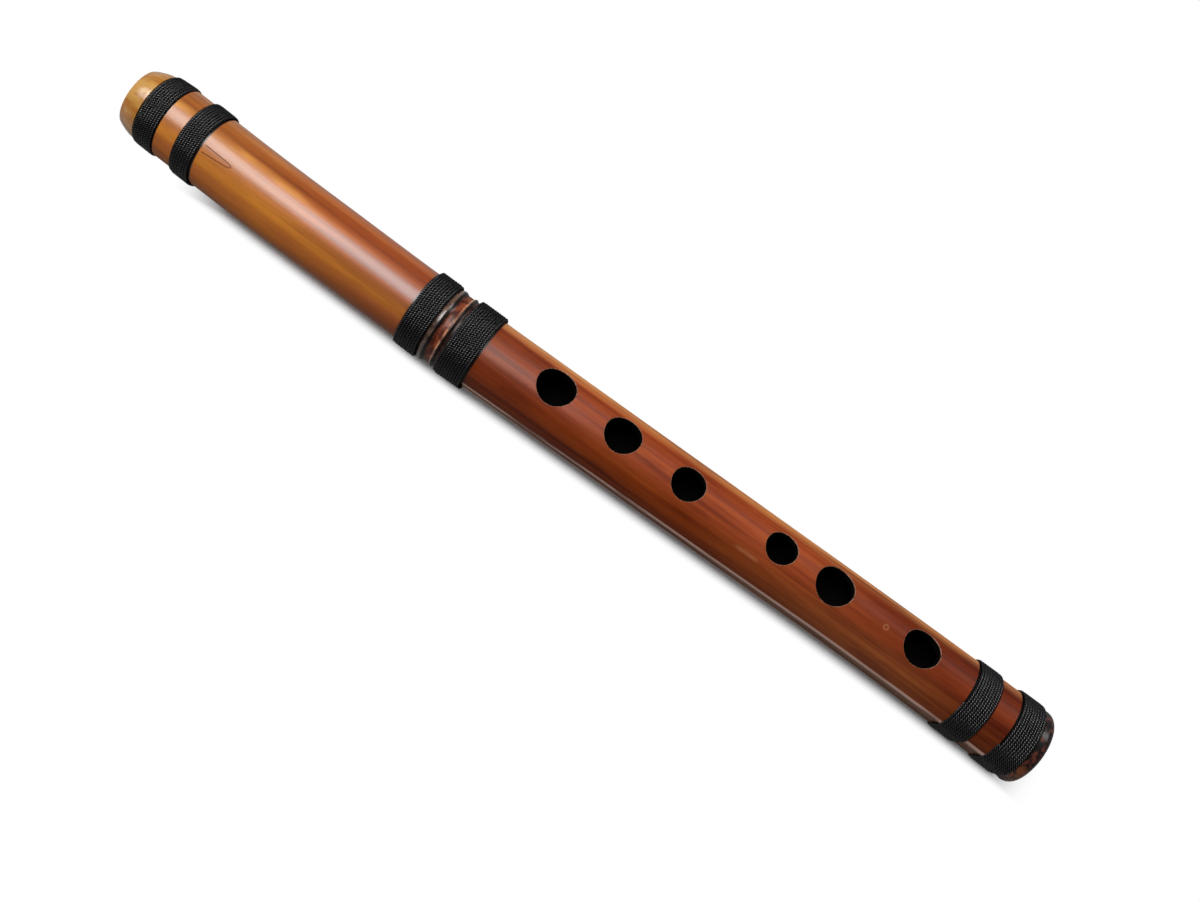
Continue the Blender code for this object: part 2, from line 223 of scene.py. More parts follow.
def skin_rows():
    """Pairs of station and radius along the outside, from the rim to the foot's flat end."""
    rim = BORE_RADIUS + RIM_LAND
    rows = []
    for row in range(BEVEL_ROWS):
        part = row / BEVEL_ROWS
        rise = 1.0 - (1.0 - part) ** MOUTH_BEVEL_FULLNESS
        rows.append((MOUTH + part * MOUTH_BEVEL, rim + rise * (culm_radius(MOUTH + MOUTH_BEVEL) - rim)))
    for x in skin_stations():
        ridge = RIDGE_HEIGHT * bump(x, RIDGE, RIDGE_HALF_WIDTH)
        scar = SCAR_HEIGHT * bump(x, SCAR, SCAR_HALF_WIDTH)
        rows.append((x, culm_radius(x) + ridge + scar - recess(x)))
    for row in range(FOOT_ROWS):
        turn = math.pi / 2 * row / (FOOT_ROWS - 1)
        inset = FOOT_ROUNDING * (1.0 - math.cos(turn))
        rows.append((ROUNDING + FOOT_ROUNDING * math.sin(turn), culm_radius(ROUNDING) - inset))
    return rows


print(f"the skin has {len(skin_rows())} rows")

# %% [markdown]
# The bore is turned or burnt out to an even width. At the node, and just inside the foot, the
# culm's own cross-wall was pierced, and a low ring of it is left. The bore's rows run back from
# the foot to the rim, so skin and bore close into one watertight surface.

# %% The rows of the bore
SEPTUM_HEIGHT = 0.9 * MM
SEPTUM_HALF_WIDTH = 3.0 * MM
SEPTUM_FLATNESS = 1.6
FOOT_SEPTUM_LENGTH = 4.0 * MM
SEPTUM_ROWS = 13
BORE_ROW_SPACING = 5.0 * MM


def bore_radius(x):
    """Radius of the bore, with the rings that the pierced walls leave."""
    ring = min(1.0, SEPTUM_FLATNESS * bump(x, NODE, SEPTUM_HALF_WIDTH))
    foot_ring = (x - (FOOT - FOOT_SEPTUM_LENGTH - SEPTUM_HALF_WIDTH)) / SEPTUM_HALF_WIDTH
    return BORE_RADIUS - SEPTUM_HEIGHT * max(ring, min(max(foot_ring, 0.0), 1.0))


def bore_rows():
    """Pairs of station and radius along the bore, from the rim to the foot."""
    stations = set(np.arange(MOUTH + BORE_ROW_SPACING, FOOT - BORE_ROW_SPACING / 2, BORE_ROW_SPACING))
    stations |= set(np.linspace(NODE - SEPTUM_HALF_WIDTH, NODE + SEPTUM_HALF_WIDTH, SEPTUM_ROWS))
    stations |= {MOUTH, FOOT - FOOT_SEPTUM_LENGTH - SEPTUM_HALF_WIDTH, FOOT - FOOT_SEPTUM_LENGTH, FOOT}
    return [(x, bore_radius(x)) for x in sorted(stations)]


print(f"the bore has {len(bore_rows())} rows")

# %% [markdown]
# Real bamboo is never quite round, and a perfect tube gives itself away by ruler-straight
# highlights. A little noise, long in the direction of the grain, moves the skin by a few
# hundredths of a millimetre. Displacement by a modifier could do it, but here the rings are being
# placed anyway.

# %% The culm
COLUMNS = 144
RIPPLE = 0.05 * MM
RIPPLE_LENGTH = 34 * MM
RIPPLES_ROUND = 2.2
FINISHES = ("lacquered", "burnt", "filed", "pared", "scorched", "charred")
LACQUERED, BURNT, FILED, PARED, SCORCHED, CHARRED = range(len(FINISHES))
PARED_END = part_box("binding_mouth_outer")[0].x + 1.0 * MM
SCORCH_START = NODE - 4.4 * MM
SCORCH_END = NODE + 4.6 * MM
CHAR_START = foot_outer_right - 1.0 * MM


def finish_at(x):
    """Which finish the skin has at x; the bindings hide every border between two of them."""
    if x < PARED_END:
        return PARED
    if SCORCH_START < x < SCORCH_END:
        return SCORCHED
    return CHARRED if x > CHAR_START else LACQUERED


def ripple(x, angle):
    """Slight unevenness of the skin, long in the direction of the grain."""
    point = Vector((x / RIPPLE_LENGTH, RIPPLES_ROUND * math.sin(angle), RIPPLES_ROUND * math.cos(angle)))
    return RIPPLE * noise.noise(point)


def add_piece(name, shape):
    """Turn a bmesh into an object, its faces outwards."""
    bmesh.ops.recalc_face_normals(shape, faces=shape.faces)
    mesh = bpy.data.meshes.new(name)
    shape.to_mesh(mesh)
    shape.free()
    piece = bpy.data.objects.new(name, mesh)
    bpy.context.scene.collection.objects.link(piece)
    return piece


def build_culm():
    """The bamboo as one closed skin, each of its faces marked with its finish."""
    shape = bmesh.new()
    angles = [2 * math.pi * column / COLUMNS for column in range(COLUMNS)]
    rings = []
    for x, radius in skin_rows():
        radii = [radius - groove_cut(x, angle) + ripple(x, angle) for angle in angles]
        rings.append([shape.verts.new(place(x, r, angle)) for r, angle in zip(radii, angles)])
    bore_start = len(rings)
    for x, radius in reversed(bore_rows()):
        rings.append([shape.verts.new(place(x, radius, angle)) for angle in angles])
    for index, ring in enumerate(rings):
        after = rings[(index + 1) % len(rings)]
        inside = bore_start <= index < len(rings) - 1
        finish = BURNT if inside else finish_at((ring[0].co.x + after[0].co.x) / 2)
        for column in range(COLUMNS):
            following = (column + 1) % COLUMNS
            face = shape.faces.new((ring[column], ring[following], after[following], after[column]))
            face.material_index = finish
    return add_piece("culm", shape)


culm = build_culm()
print(f"the culm has {len(culm.data.vertices)} vertices")

# %% [markdown]
# A finger hole is burnt through the wall with a hot iron, then its edge is eased with a file, so
# a finger seals it. One way is to bevel the edge after cutting, but a bevel on a curved cut often
# tangles. Here the cutter itself flares near the skin and follows the tube's curve, so one cut
# leaves both the burnt wall and the filed edge, and each keeps its own finish. A row of the list
# gives a hole's distance from the one before it, and the first one's from the node, then its
# place sideways, its length and its width, all in millimetres.

# %% The finger holes
HOLES = (
    (38.9, 0.2, 13.1, 12.2),
    (25.45, 0.0, 12.4, 11.7),
    (25.3, -0.55, 11.4, 11.0),
    (35.2, 0.0, 10.8, 10.3),
    (20.35, 0.2, 13.2, 12.5),
    (33.35, 0.2, 12.9, 11.7),
)
HOLE_POINTS = 72
EASED_EDGE = ((0.24, 0.05), (0.17, -0.02), (0.09, -0.09), (0.03, -0.18), (0.0, -0.32))
CUTTER_TOP = 18.0 * MM
CUTTER_BOTTOM = 2.0 * MM
SHARPEST_SMOOTH_EDGE = math.radians(38)


def cutter_ring(shape, hole, widening, depth=None, height=None):
    """One oval of a cutter, at this depth below the skin or at this height above the axis."""
    x, sideways, half_length, half_width = hole
    ring = []
    for point in range(HOLE_POINTS):
        turn = 2 * math.pi * point / HOLE_POINTS
        along = x + (half_length + widening) * math.cos(turn)
        across = sideways + (half_width + widening) * math.sin(turn)
        if height is None:
            up = math.sqrt(culm_radius(along) ** 2 - across ** 2) + depth
        else:
            up = height
        ring.append(shape.verts.new((along, sway(along) + across, AXIS_HEIGHT + up)))
    return ring


def add_hole_cutter(shape, hole):
    """One closed cutter, from above the skin down into the bore."""
    rings = [cutter_ring(shape, hole, EASED_EDGE[0][0] * MM, height=CUTTER_TOP)]
    for widening, depth in EASED_EDGE:
        rings.append(cutter_ring(shape, hole, widening * MM, depth=depth * MM))
    rings.append(cutter_ring(shape, hole, 0.0, height=CUTTER_BOTTOM))
    for index, (ring, after) in enumerate(zip(rings, rings[1:])):
        for point in range(HOLE_POINTS):
            following = (point + 1) % HOLE_POINTS
            face = shape.faces.new((ring[point], ring[following], after[following], after[point]))
            face.material_index = BURNT if index == len(EASED_EDGE) else FILED
    shape.faces.new(rings[0])
    shape.faces.new(rings[-1])


def cut_holes(piece):
    """Cut all six holes, and let each face of the cut keep the cutter's finish."""
    shape = bmesh.new()
    x = NODE
    for spacing, sideways, length, width in HOLES:
        x += spacing * MM
        add_hole_cutter(shape, (x, sideways * MM, length * MM / 2, width * MM / 2))
    cutter = add_piece("hole_cutter", shape)
    for target in (piece, cutter):
        for material in bamboo:
            target.data.materials.append(material)
    cut = piece.modifiers.new("holes", "BOOLEAN")
    cut.operation = "DIFFERENCE"
    cut.solver = "EXACT"
    cut.object = cutter
    cut.material_mode = "TRANSFER"
    bpy.context.view_layer.objects.active = piece
    bpy.ops.object.modifier_apply(modifier=cut.name)
    bpy.data.objects.remove(cutter, do_unlink=True)
    piece.data.shade_smooth()
    piece.data.set_sharp_from_angle(angle=SHARPEST_SMOOTH_EDGE)


bamboo = [bpy.data.materials.new(name + "_bamboo") for name in FINISHES]
cut_holes(culm)
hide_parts("bamboo_tube")
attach(culm, "root")
print(f"with its holes the culm has {len(culm.data.polygons)} faces")

# %% [markdown]
# Each binding is one thin twisted cord, wound in touching turns under tension, so that the turns
# press each other taller than they are wide. A curve with a round bevel would be quick, but it
# has no strands. So the section is given point by point, three strands with creases between them,
# and it turns as it is carried along. The path is a helix whose radius follows a string pulled
# tight round the tube, which takes the short way over the groove.

# %% The taut line of a cord
TAUT_SAMPLES = 180
TAUT_ANGLES = [2 * math.pi * i / TAUT_SAMPLES for i in range(TAUT_SAMPLES)]
TAUT_DIRECTIONS = np.array([[math.sin(angle), math.cos(angle)] for angle in TAUT_ANGLES])
LEAST_SPREAD = 0.2


def taut_radii(x):
    """Radius in every direction of a string pulled tight round the culm at x."""
    radii = [culm_radius(x) - recess(x) - groove_cut(x, angle) for angle in TAUT_ANGLES]
    points = TAUT_DIRECTIONS * np.array(radii)[:, None]
    support = (points @ TAUT_DIRECTIONS.T).max(axis=0)
    spread = TAUT_DIRECTIONS @ TAUT_DIRECTIONS.T
    reach = np.where(spread > LEAST_SPREAD, support / np.maximum(spread, LEAST_SPREAD), np.inf)
    return reach.min(axis=1)


def around_ring(radii, angle):
    """Radius at each angle, from radii at evenly spread angles."""
    column = (angle / (2 * math.pi) * TAUT_SAMPLES) % TAUT_SAMPLES
    return np.interp(column, np.arange(TAUT_SAMPLES + 1), np.append(radii, radii[0]))


print(f"a taut cord by the foot lies {min(taut_radii(foot_inner_left)) / MM:.2f} mm or more from the axis")

# %% [markdown]
# The first and last turns of a binding are pulled down harder than the rest, so they are drawn a
# little flatter, and at the foot the first ones slant. A hair of unevenness keeps the turns from
# lining up like a machine's. The end of a cord is trimmed close and stands off by less than a
# millimetre. A row of the list names the solid that a cord stands for, its number of turns,
# which is negative where it is wound the other way, and the angle in degrees where it starts.

# %% The path of a cord
BINDINGS = (
    ("binding_mouth_outer", -8, 208),
    ("binding_mouth_inner", -8, 107),
    ("binding_node_upper", -9, 219),
    ("binding_node_lower", -11, 107),
    ("binding_foot_inner", 9.34, 26),
    ("binding_foot_outer", 9.3, 44),
)
CORD_HALF_HEIGHT = 0.57 * MM
NODE_LIFT = 0.20 * MM
CORD_STEP = 0.20 * MM
EDGE_FLATNESS = 0.2
EDGE_TURNS = 1.2
TAIL_LENGTH = 2.4 * MM
TAIL_LIFT = 0.30 * MM
FIRST_TURN_SLANT = 0.45 * MM
JITTER = 0.07 * MM


def uneven(values, row):
    """Smooth random numbers from -1 to 1 along values; each row of them is different."""
    return np.array([noise.noise(Vector((value, 7.3 * row, 0.0))) for value in values])


def cord_path(name, winding, start):
    """Station, angle and radius of the cord's centre, its length so far, and how flat it lies."""
    turns = abs(winding)
    left, right = binding_span(name)
    pitch = (right - left) / (turns + 1)
    length = turns * 2 * math.pi * SKIN_RADIUS
    step = np.linspace(0.0, 1.0, int(length / CORD_STEP) + 1)
    turn = step * turns
    angle = math.radians(start) + math.copysign(2 * math.pi, winding) * turn
    x = left + pitch * (0.5 + turn) + JITTER * uneven(turn * 2.3, start)
    if name in START_LATER:
        x = x - FIRST_TURN_SLANT * (1.0 - step) * (1.0 + np.sin(angle)) / 2
    from_edge = np.minimum(turn, turns - turn) / EDGE_TURNS
    flat = 1.0 - EDGE_FLATNESS * np.clip(1.0 - from_edge, 0.0, 1.0) ** 2
    under_left = around_ring(taut_radii(left + pitch), angle)
    under_right = around_ring(taut_radii(right - pitch), angle)
    from_end = (1.0 - step) * length
    tail = TAIL_LIFT * np.clip(1.0 - from_end / TAIL_LENGTH, 0.0, 1.0) ** 2
    lift = NODE_LIFT if "node" in name else 0.0
    radius = under_left + step * (under_right - under_left) + CORD_HALF_HEIGHT * flat + lift + tail
    return x, angle, radius + JITTER / 3 * uneven(turn * 3.1, start + 40), step * length, flat


print(f"the longest cord covers {cord_path(*BINDINGS[3])[3][-1]:.2f} m of skin")

# %% [markdown]
# The cord's section is a small star with three soft lobes, one for each strand. It turns once in
# about two and a half millimetres of cord, which twists the strands. Faces beside a crease get a
# finish of their own, because hardly any light reaches them.

# %% The bindings
CORD_HALF_WIDTH = 0.50 * MM
STRANDS = 3
STRAND_TWIST = 2.4 * MM
STRAND_RELIEF = 0.46
SECTION_POINTS = 12
STRAND_POINTS = SECTION_POINTS // STRANDS
CROWN, CREASE = 0, 1


def strand_section(along):
    """Angle round the cord and relative radius of each point of the section, row by row."""
    around = 2 * math.pi * np.arange(SECTION_POINTS) / SECTION_POINTS
    lobes = 1.0 - STRAND_RELIEF * (1.0 - np.abs(np.cos(STRANDS * around / 2)))
    twist = 2 * math.pi * along[:, None] / STRAND_TWIST
    return around[None, :] + twist, lobes[None, :]


def build_binding(name, winding, start):
    """One wound cord that stands for its solid."""
    x, angle, radius, along, flat = cord_path(name, winding, start)
    around, lobes = strand_section(along)
    point_x = x[:, None] + CORD_HALF_WIDTH * lobes * np.sin(around)
    point_radius = radius[:, None] + CORD_HALF_HEIGHT * flat[:, None] * lobes * np.cos(around)
    side = np.array([sway(value) for value in x])[:, None]
    point_y = side - point_radius * np.sin(angle)[:, None]
    point_z = AXIS_HEIGHT + point_radius * np.cos(angle)[:, None]
    shape = bmesh.new()
    vertices = [shape.verts.new(co) for co in np.stack([point_x, point_y, point_z], -1).reshape(-1, 3)]
    rings = [vertices[i:i + SECTION_POINTS] for i in range(0, len(vertices), SECTION_POINTS)]
    for ring, after in zip(rings, rings[1:]):
        for point in range(SECTION_POINTS):
            following = (point + 1) % SECTION_POINTS
            face = shape.faces.new((ring[point], ring[following], after[following], after[point]))
            beside_crease = point % STRAND_POINTS in (STRAND_POINTS // 2 - 1, STRAND_POINTS // 2)
            face.material_index = CREASE if beside_crease else CROWN
    shape.faces.new(rings[0])
    shape.faces.new(rings[-1])
    piece = add_piece("cord_" + name, shape)
    piece.data.shade_smooth()
    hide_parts(name)
    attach(piece, "root")
    return piece


cords = [build_binding(*binding) for binding in BINDINGS]
print(f"{len(cords)} bindings, {sum(len(cord.data.vertices) for cord in cords)} vertices in all")

# %% [markdown]
# Materials are written as sums. A small class wraps a node's output, so that plus, minus and
# times add the nodes, and a recipe reads as a varnisher would say it: this stain here, darker
# streaks along the grain, a scorch at the node. Numbers go to Math nodes, and colours and places
# to Vector Math, because a Math node would turn a colour grey.

# %% Sums of sockets
MIRRORED_SHARE = 0.04


class Wire:
    """A node's output, with operators that add the nodes for them."""

    def __init__(self, paint, socket):
        self.paint = paint
        self.socket = socket
        self.is_vector = socket.type in ("VECTOR", "RGBA")

    def join(self, operation, left, right):
        vector = any(isinstance(side, Wire) and side.is_vector for side in (left, right))
        kind = "ShaderNodeVectorMath" if vector else "ShaderNodeMath"
        return self.paint.node(kind, {"operation": operation}, {0: left, 1: right})

    def __add__(self, other):
        return self.join("ADD", self, other)

    def __sub__(self, other):
        return self.join("SUBTRACT", self, other)

    def __rsub__(self, other):
        return self.join("SUBTRACT", other, self)

    def __mul__(self, other):
        return self.join("MULTIPLY", self, other)

    def __truediv__(self, other):
        return self.join("DIVIDE", self, other)

    __radd__ = __add__
    __rmul__ = __mul__


class Paint:
    """The nodes of a material or a world, to which a recipe adds."""

    def __init__(self, owner):
        owner.use_nodes = True
        self.owner = owner
        self.tree = owner.node_tree
        self.shader = self.tree.nodes.get("Principled BSDF")

    def node(self, kind, settings=None, sockets=None, output=0):
        """Add a node, set its settings, then its sockets, and return one of its outputs."""
        added = self.tree.nodes.new(kind)
        for name, value in (settings or {}).items():
            if name == "stops":
                self.set_stops(added.color_ramp, value)
            else:
                setattr(added, name, value)
        for name, value in (sockets or {}).items():
            self.feed(added.inputs[name], value)
        return Wire(self, added.outputs[output])

    def feed(self, socket, value):
        """Link a wire into a socket, or set the socket's own value."""
        if isinstance(value, Wire):
            self.tree.links.new(value.socket, socket)
        elif socket.type == "VECTOR" and isinstance(value, (int, float)):
            socket.default_value = (value, value, value)
        elif socket.type == "RGBA":
            socket.default_value = (*value[:3], 1.0)
        else:
            socket.default_value = value

    def finish(self, **values):
        """Set or link sockets of the shader; an underscore stands for a space in a name."""
        for name, value in values.items():
            self.feed(self.shader.inputs[name.replace("_", " ")], value)

    def set_stops(self, colour_ramp, stops):
        """Set a colour ramp's stops from pairs of place and colour."""
        while len(colour_ramp.elements) < len(stops):
            colour_ramp.elements.new(1.0)
        for element, (position, colour) in zip(colour_ramp.elements, stops):
            element.position = position
            element.color = (*colour, 1.0)

    def position(self):
        """Place on the object in metres."""
        return self.node("ShaderNodeTexCoord", output=3)

    def seen(self):
        """1 to the camera, and a smaller share in reflections and through glass."""
        camera, glossy, through = (self.node("ShaderNodeLightPath", output=index) for index in (0, 3, 6))
        return camera + (glossy + through) * MIRRORED_SHARE

    def set_surface(self, shader):
        """Make this shader the surface of the material or the world."""
        kind = "World Output" if isinstance(self.owner, bpy.types.World) else "Material Output"
        self.tree.links.new(shader.socket, self.tree.nodes[kind].inputs["Surface"])

    def apart(self, vector, axis):
        """One of the three numbers of a vector."""
        return self.node("ShaderNodeSeparateXYZ", {}, {0: vector}, axis)

    def mix(self, factor, low, high):
        """Colour between low and high."""
        return self.node("ShaderNodeMix", {"data_type": "RGBA"}, {0: factor, 6: low, 7: high}, 2)

    def between(self, value, low, high):
        """0 where value is at low, 1 where it is at high, and smooth between them."""
        return self.node(
            "ShaderNodeMapRange",
            {"interpolation_type": "SMOOTHSTEP"},
            {"Value": value, "From Min": low, "From Max": high},
        )

    def work(self, operation, left, right=0.0):
        """A Math node for a sum that has no operator."""
        return self.node("ShaderNodeMath", {"operation": operation}, {0: left, 1: right})

    def stripe(self, value, centre, half_width, softness=0.5):
        """1 where value is near centre, falling to 0 at half_width from it."""
        distance = self.work("ABSOLUTE", value - centre)
        return self.between(distance, half_width, half_width * (1.0 - softness))

    def within(self, value, low, high, fade):
        """1 between low and high, with soft ends that are as long as fade."""
        return self.between(value, low - fade, low) * self.between(value, high + fade, high)

    def grain(self, vector, detail=2.0, roughness=0.5):
        """Noise from 0 to 1 at a place that is already scaled."""
        return self.node(
            "ShaderNodeTexNoise", {},
            {"Vector": vector, "Scale": 1.0, "Detail": detail, "Roughness": roughness},
        )

    def relief(self, height, strength, distance):
        """Normal of a surface with this height on it."""
        return self.node(
            "ShaderNodeBump", {},
            {"Height": height, "Strength": strength, "Distance": distance},
        )


print("paint is ready")

# %% [markdown]
# The bamboo's colour changes along the tube: pared and ochre at the mouth, orange on the upper
# stretch, red-brown below the node. One colour ramp along the length gives that for the side
# that faces up, and another for the side with the groove, which is partly a stain of its own and
# partly painted light and shade for how the light falls on that side. They blend on both sides of
# it, so no seam shows underneath. The angle round the tube comes from the same sums as the shape,
# so a stripe can follow the culm.

# %% The stain along the tube
TOP_STAIN = (
    (0.0, (0.42, 0.185, 0.028)),
    (0.014, (0.42, 0.175, 0.024)),
    (0.024, (0.34, 0.108, 0.016)),
    (0.12, (0.36, 0.108, 0.012)),
    (0.22, (0.36, 0.086, 0.006)),
    (0.32, (0.27, 0.052, 0.005)),
    (0.36, (0.17, 0.030, 0.006)),
    (0.46, (0.24, 0.042, 0.010)),
    (0.72, (0.24, 0.042, 0.010)),
    (0.83, (0.140, 0.020, 0.004)),
    (1.0, (0.140, 0.021, 0.005)),
)
# Painted light and shade: the groove side's ramp is partly its own stain and partly made lighter or darker
# for how light falls on that side.
SIDE_STAIN_AND_PAINTED_LIGHT = (
    (0.0, (0.40, 0.180, 0.022)),
    (0.014, (0.40, 0.170, 0.020)),
    (0.024, (0.37, 0.096, 0.006)),
    (0.12, (0.40, 0.105, 0.005)),
    (0.22, (0.40, 0.105, 0.005)),
    (0.32, (0.29, 0.058, 0.004)),
    (0.36, (0.15, 0.022, 0.003)),
    (0.62, (0.16, 0.026, 0.004)),
    (0.83, (0.24, 0.062, 0.019)),
    (0.92, (0.15, 0.030, 0.008)),
    (1.0, (0.12, 0.022, 0.004)),
)
TOP_END = math.radians(14)
SIDE_START = math.radians(50)
SIDE_END = math.radians(130)
UNDERSIDE = math.radians(175)


def axis_side(paint, x):
    """The axis's sideways place at x, by the same sums as sway but without the mouth's lean."""
    upper = NODE - MOUTH
    lower = FOOT - NODE
    bend = paint.work("MINIMUM", (x - MOUTH) / upper, (FOOT - x) / lower)
    near_mouth = paint.work("MAXIMUM", (MOUTH - x) / MOUTH_SWEEP_REACH + 1.0, 0.0)
    near_foot = paint.work("MAXIMUM", (x - ROUNDING) / FOOT_FLARE_REACH + 1.0, 0.0)
    sweep = near_mouth * near_mouth * MOUTH_SWEEP - near_foot * near_foot * FOOT_SWEEP
    return sweep + AXIS_SIDE - bend * (NODE_KINK * upper * lower / LENGTH)


def angle_round(paint, position):
    """The angle round the tube in radians, 0 at the holes and growing towards the groove."""
    side = axis_side(paint, paint.apart(position, 0)) - paint.apart(position, 1)
    return paint.work("ARCTAN2", side, paint.apart(position, 2) - AXIS_HEIGHT)


def stain_along(paint, x, angle):
    """The stain before any grain: two ramps along the tube, blended round it; the side's ramp holds painted
    light and shade.
    """
    part = (x - MOUTH) / LENGTH
    top = paint.node("ShaderNodeValToRGB", {"stops": TOP_STAIN}, {0: part})
    side = paint.node("ShaderNodeValToRGB", {"stops": SIDE_STAIN_AND_PAINTED_LIGHT}, {0: part})
    on_side = paint.between(angle, TOP_END, SIDE_START) * paint.between(angle, UNDERSIDE, SIDE_END)
    return paint.mix(on_side, top, side)


print("the stain has", len(TOP_STAIN), "stops along the tube")

# %% [markdown]
# Bamboo has straight fibres, so its grain is noise that is stretched far along the tube. Four
# sizes of it are enough: bands a few millimetres wide, streaks a millimetre wide, patches a
# centimetre long, and hair-fine fibres. Each darkens or lightens the stain between two of its
# levels, by one amount above the node and by another below it. The stripes that the maker's
# stain left are drawn by angle, with the noise bending them, so they don't look ruled. The tan
# on the far side of the lower stretch is drawn by angle too, partly as its own colour and partly
# as painted light on that edge.

# %% Grain and stripes
BAND_SCALE = (7.0, 260.0, 260.0)
STREAK_SCALE = (16.0, 640.0, 640.0)
PATCH_SCALE = (38.0, 150.0, 150.0)
FIBRE_SCALE = (90.0, 3000.0, 3000.0)
DARK_STREAK = (0.42, 0.30, 0.30)
PALE_STREAK = (1.32, 1.50, 1.40)
PALE_PATCH = (1.20, 1.30, 1.15)
CLOUD = (0.62, 0.56, 0.80)
FIBRE_SHADE = (0.72, 0.66, 0.62)
STRIPE_SHADE = (0.66, 0.50, 0.40)
GOLD = (0.56, 0.235, 0.035)
# The far side's tan is partly its own colour and partly painted light.
FAR_SIDE_TAN_AND_LIGHT = (0.50, 0.190, 0.055)
STRIPE_WANDER = 0.35
DARK_STRIPE = (math.radians(-17), math.radians(16))
GOLD_STRIPE = (math.radians(-3), math.radians(7))
GOLD_SIDE = (math.radians(43), math.radians(19), 1.0)
FAR_SIDE_START = (math.radians(-26), math.radians(-52))
FAR_SIDE_END = (math.radians(-115), math.radians(-80))
LOWER_STRETCH = (NODE - 14 * MM, NODE + 4 * MM)
DARKER_TO_NODE = (NODE - 100 * MM, NODE - 30 * MM)
GOLD_BY_MOUTH = (NODE - 45 * MM, NODE - 70 * MM)
TAN_AND_LIGHT_AT_FOOT = (NODE + 150 * MM, NODE + 180 * MM)
BANDS, STREAKS, PATCHES, FIBRES = range(4)
# Which noise, its two levels, the weight above the node, the weight below it, and the tint.
GRAIN_LAYERS = (
    (BANDS, 0.50, 0.66, 0.50, 0.70, DARK_STREAK),
    (BANDS, 0.48, 0.34, 0.25, 0.60, PALE_STREAK),
    (STREAKS, 0.50, 0.70, 0.30, 0.45, DARK_STREAK),
    (STREAKS, 0.48, 0.30, 0.15, 0.45, PALE_STREAK),
    (PATCHES, 0.48, 0.70, 0.60, 0.60, PALE_PATCH),
    (PATCHES, 0.48, 0.30, 0.00, 0.70, CLOUD),
    (FIBRES, 0.50, 0.66, 0.40, 0.40, FIBRE_SHADE),
)


def striped(paint, colour, x, angle, noises):
    """The stain with the stripes that lie at one angle round the tube, and the far side's tan, partly
    painted light.
    """
    lower = paint.between(x, *LOWER_STRETCH)
    upper = 1.0 - lower
    wandering = angle + noises[BANDS] * STRIPE_WANDER - STRIPE_WANDER / 2
    dark_stripe = paint.stripe(wandering, *DARK_STRIPE)
    dark_stripe = dark_stripe * (upper * (paint.between(x, *DARKER_TO_NODE) * 0.35 + 0.30) + 0.25)
    gold_stripe = paint.stripe(wandering, *GOLD_STRIPE) * upper * paint.between(x, *GOLD_BY_MOUTH)
    gold_stripe = gold_stripe * paint.between(noises[PATCHES], 0.36, 0.62) * 0.5
    gold_side = paint.stripe(wandering, *GOLD_SIDE) * upper * 0.35
    # Painted light: the far side of the lower stretch is tan, partly its own colour and partly the light
    # falling on that edge, over all of it at the foot.
    far_side_streaks = paint.between(noises[STREAKS], 0.64, 0.44) * 0.6 + 0.4
    far_side_tan_and_light = paint.work("MAXIMUM", far_side_streaks, paint.between(x, *TAN_AND_LIGHT_AT_FOOT) * 0.85) * lower
    far_side_tan_and_light = far_side_tan_and_light * paint.between(angle, *FAR_SIDE_START) * paint.between(angle, *FAR_SIDE_END)
    colour = paint.mix(far_side_tan_and_light, colour, FAR_SIDE_TAN_AND_LIGHT)
    colour = paint.mix(dark_stripe, colour, colour * STRIPE_SHADE)
    return paint.mix(paint.work("MAXIMUM", gold_stripe, gold_side), colour, GOLD)


def grained(paint, colour, x, noises):
    """The stain darkened and lightened by the grain, layer by layer."""
    lower = paint.between(x, *LOWER_STRETCH)
    for noise_index, start, end, above, below, tint in GRAIN_LAYERS:
        weight = paint.between(noises[noise_index], start, end) * (lower * (below - above) + above)
        colour = paint.mix(weight, colour, colour * tint)
    return colour


print("grain from", 1000 / BAND_SCALE[1], "to", round(1000 / FIBRE_SCALE[1], 2), "mm across")

# %% [markdown]
# Wear and damage are small, but they are what the eye checks first. A splinter by the second
# binding shows as a dark hairline round a blunt tongue. Two faint pale marks lie on top of the
# lower stretch, a burst blister in the lacquer and a rubbed spot. Each is drawn by its distance
# from a place, so no picture is needed.

# %% Splinter and scuffs
SPLINTER_START = MOUTH + 29.5 * MM
SPLINTER_TIP = MOUTH + 40.0 * MM
SPLINTER_SIDE = -4.95 * MM
SPLINTER_HALF_WIDTH = 1.1 * MM
SPLINTER_NARROWING = 0.5
SPLINTER_BLUNTNESS = 18.0
SPLINTER_LINE = 0.20 * MM
SPLINTER_COLOUR = (0.10, 0.028, 0.016)
BLISTER = (NODE + 165.2 * MM, -1.2 * MM)
BLISTER_RADIUS = 0.75 * MM
BLISTER_LINE = 0.38 * MM
SCUFF = (NODE + 116.7 * MM, -7.9 * MM)
SCUFF_SIZE = (5.2 * MM, 1.1 * MM)
SCUFF_PALE = (0.42, 0.17, 0.075)
BLISTER_SHARE = 0.32
SCUFF_SHARE = 0.30


def on_upper_half(paint, position):
    """1 on the half of the culm that faces up, which keeps a mark off the underside."""
    return paint.between(paint.apart(position, 2), AXIS_HEIGHT, AXIS_HEIGHT + 2 * MM)


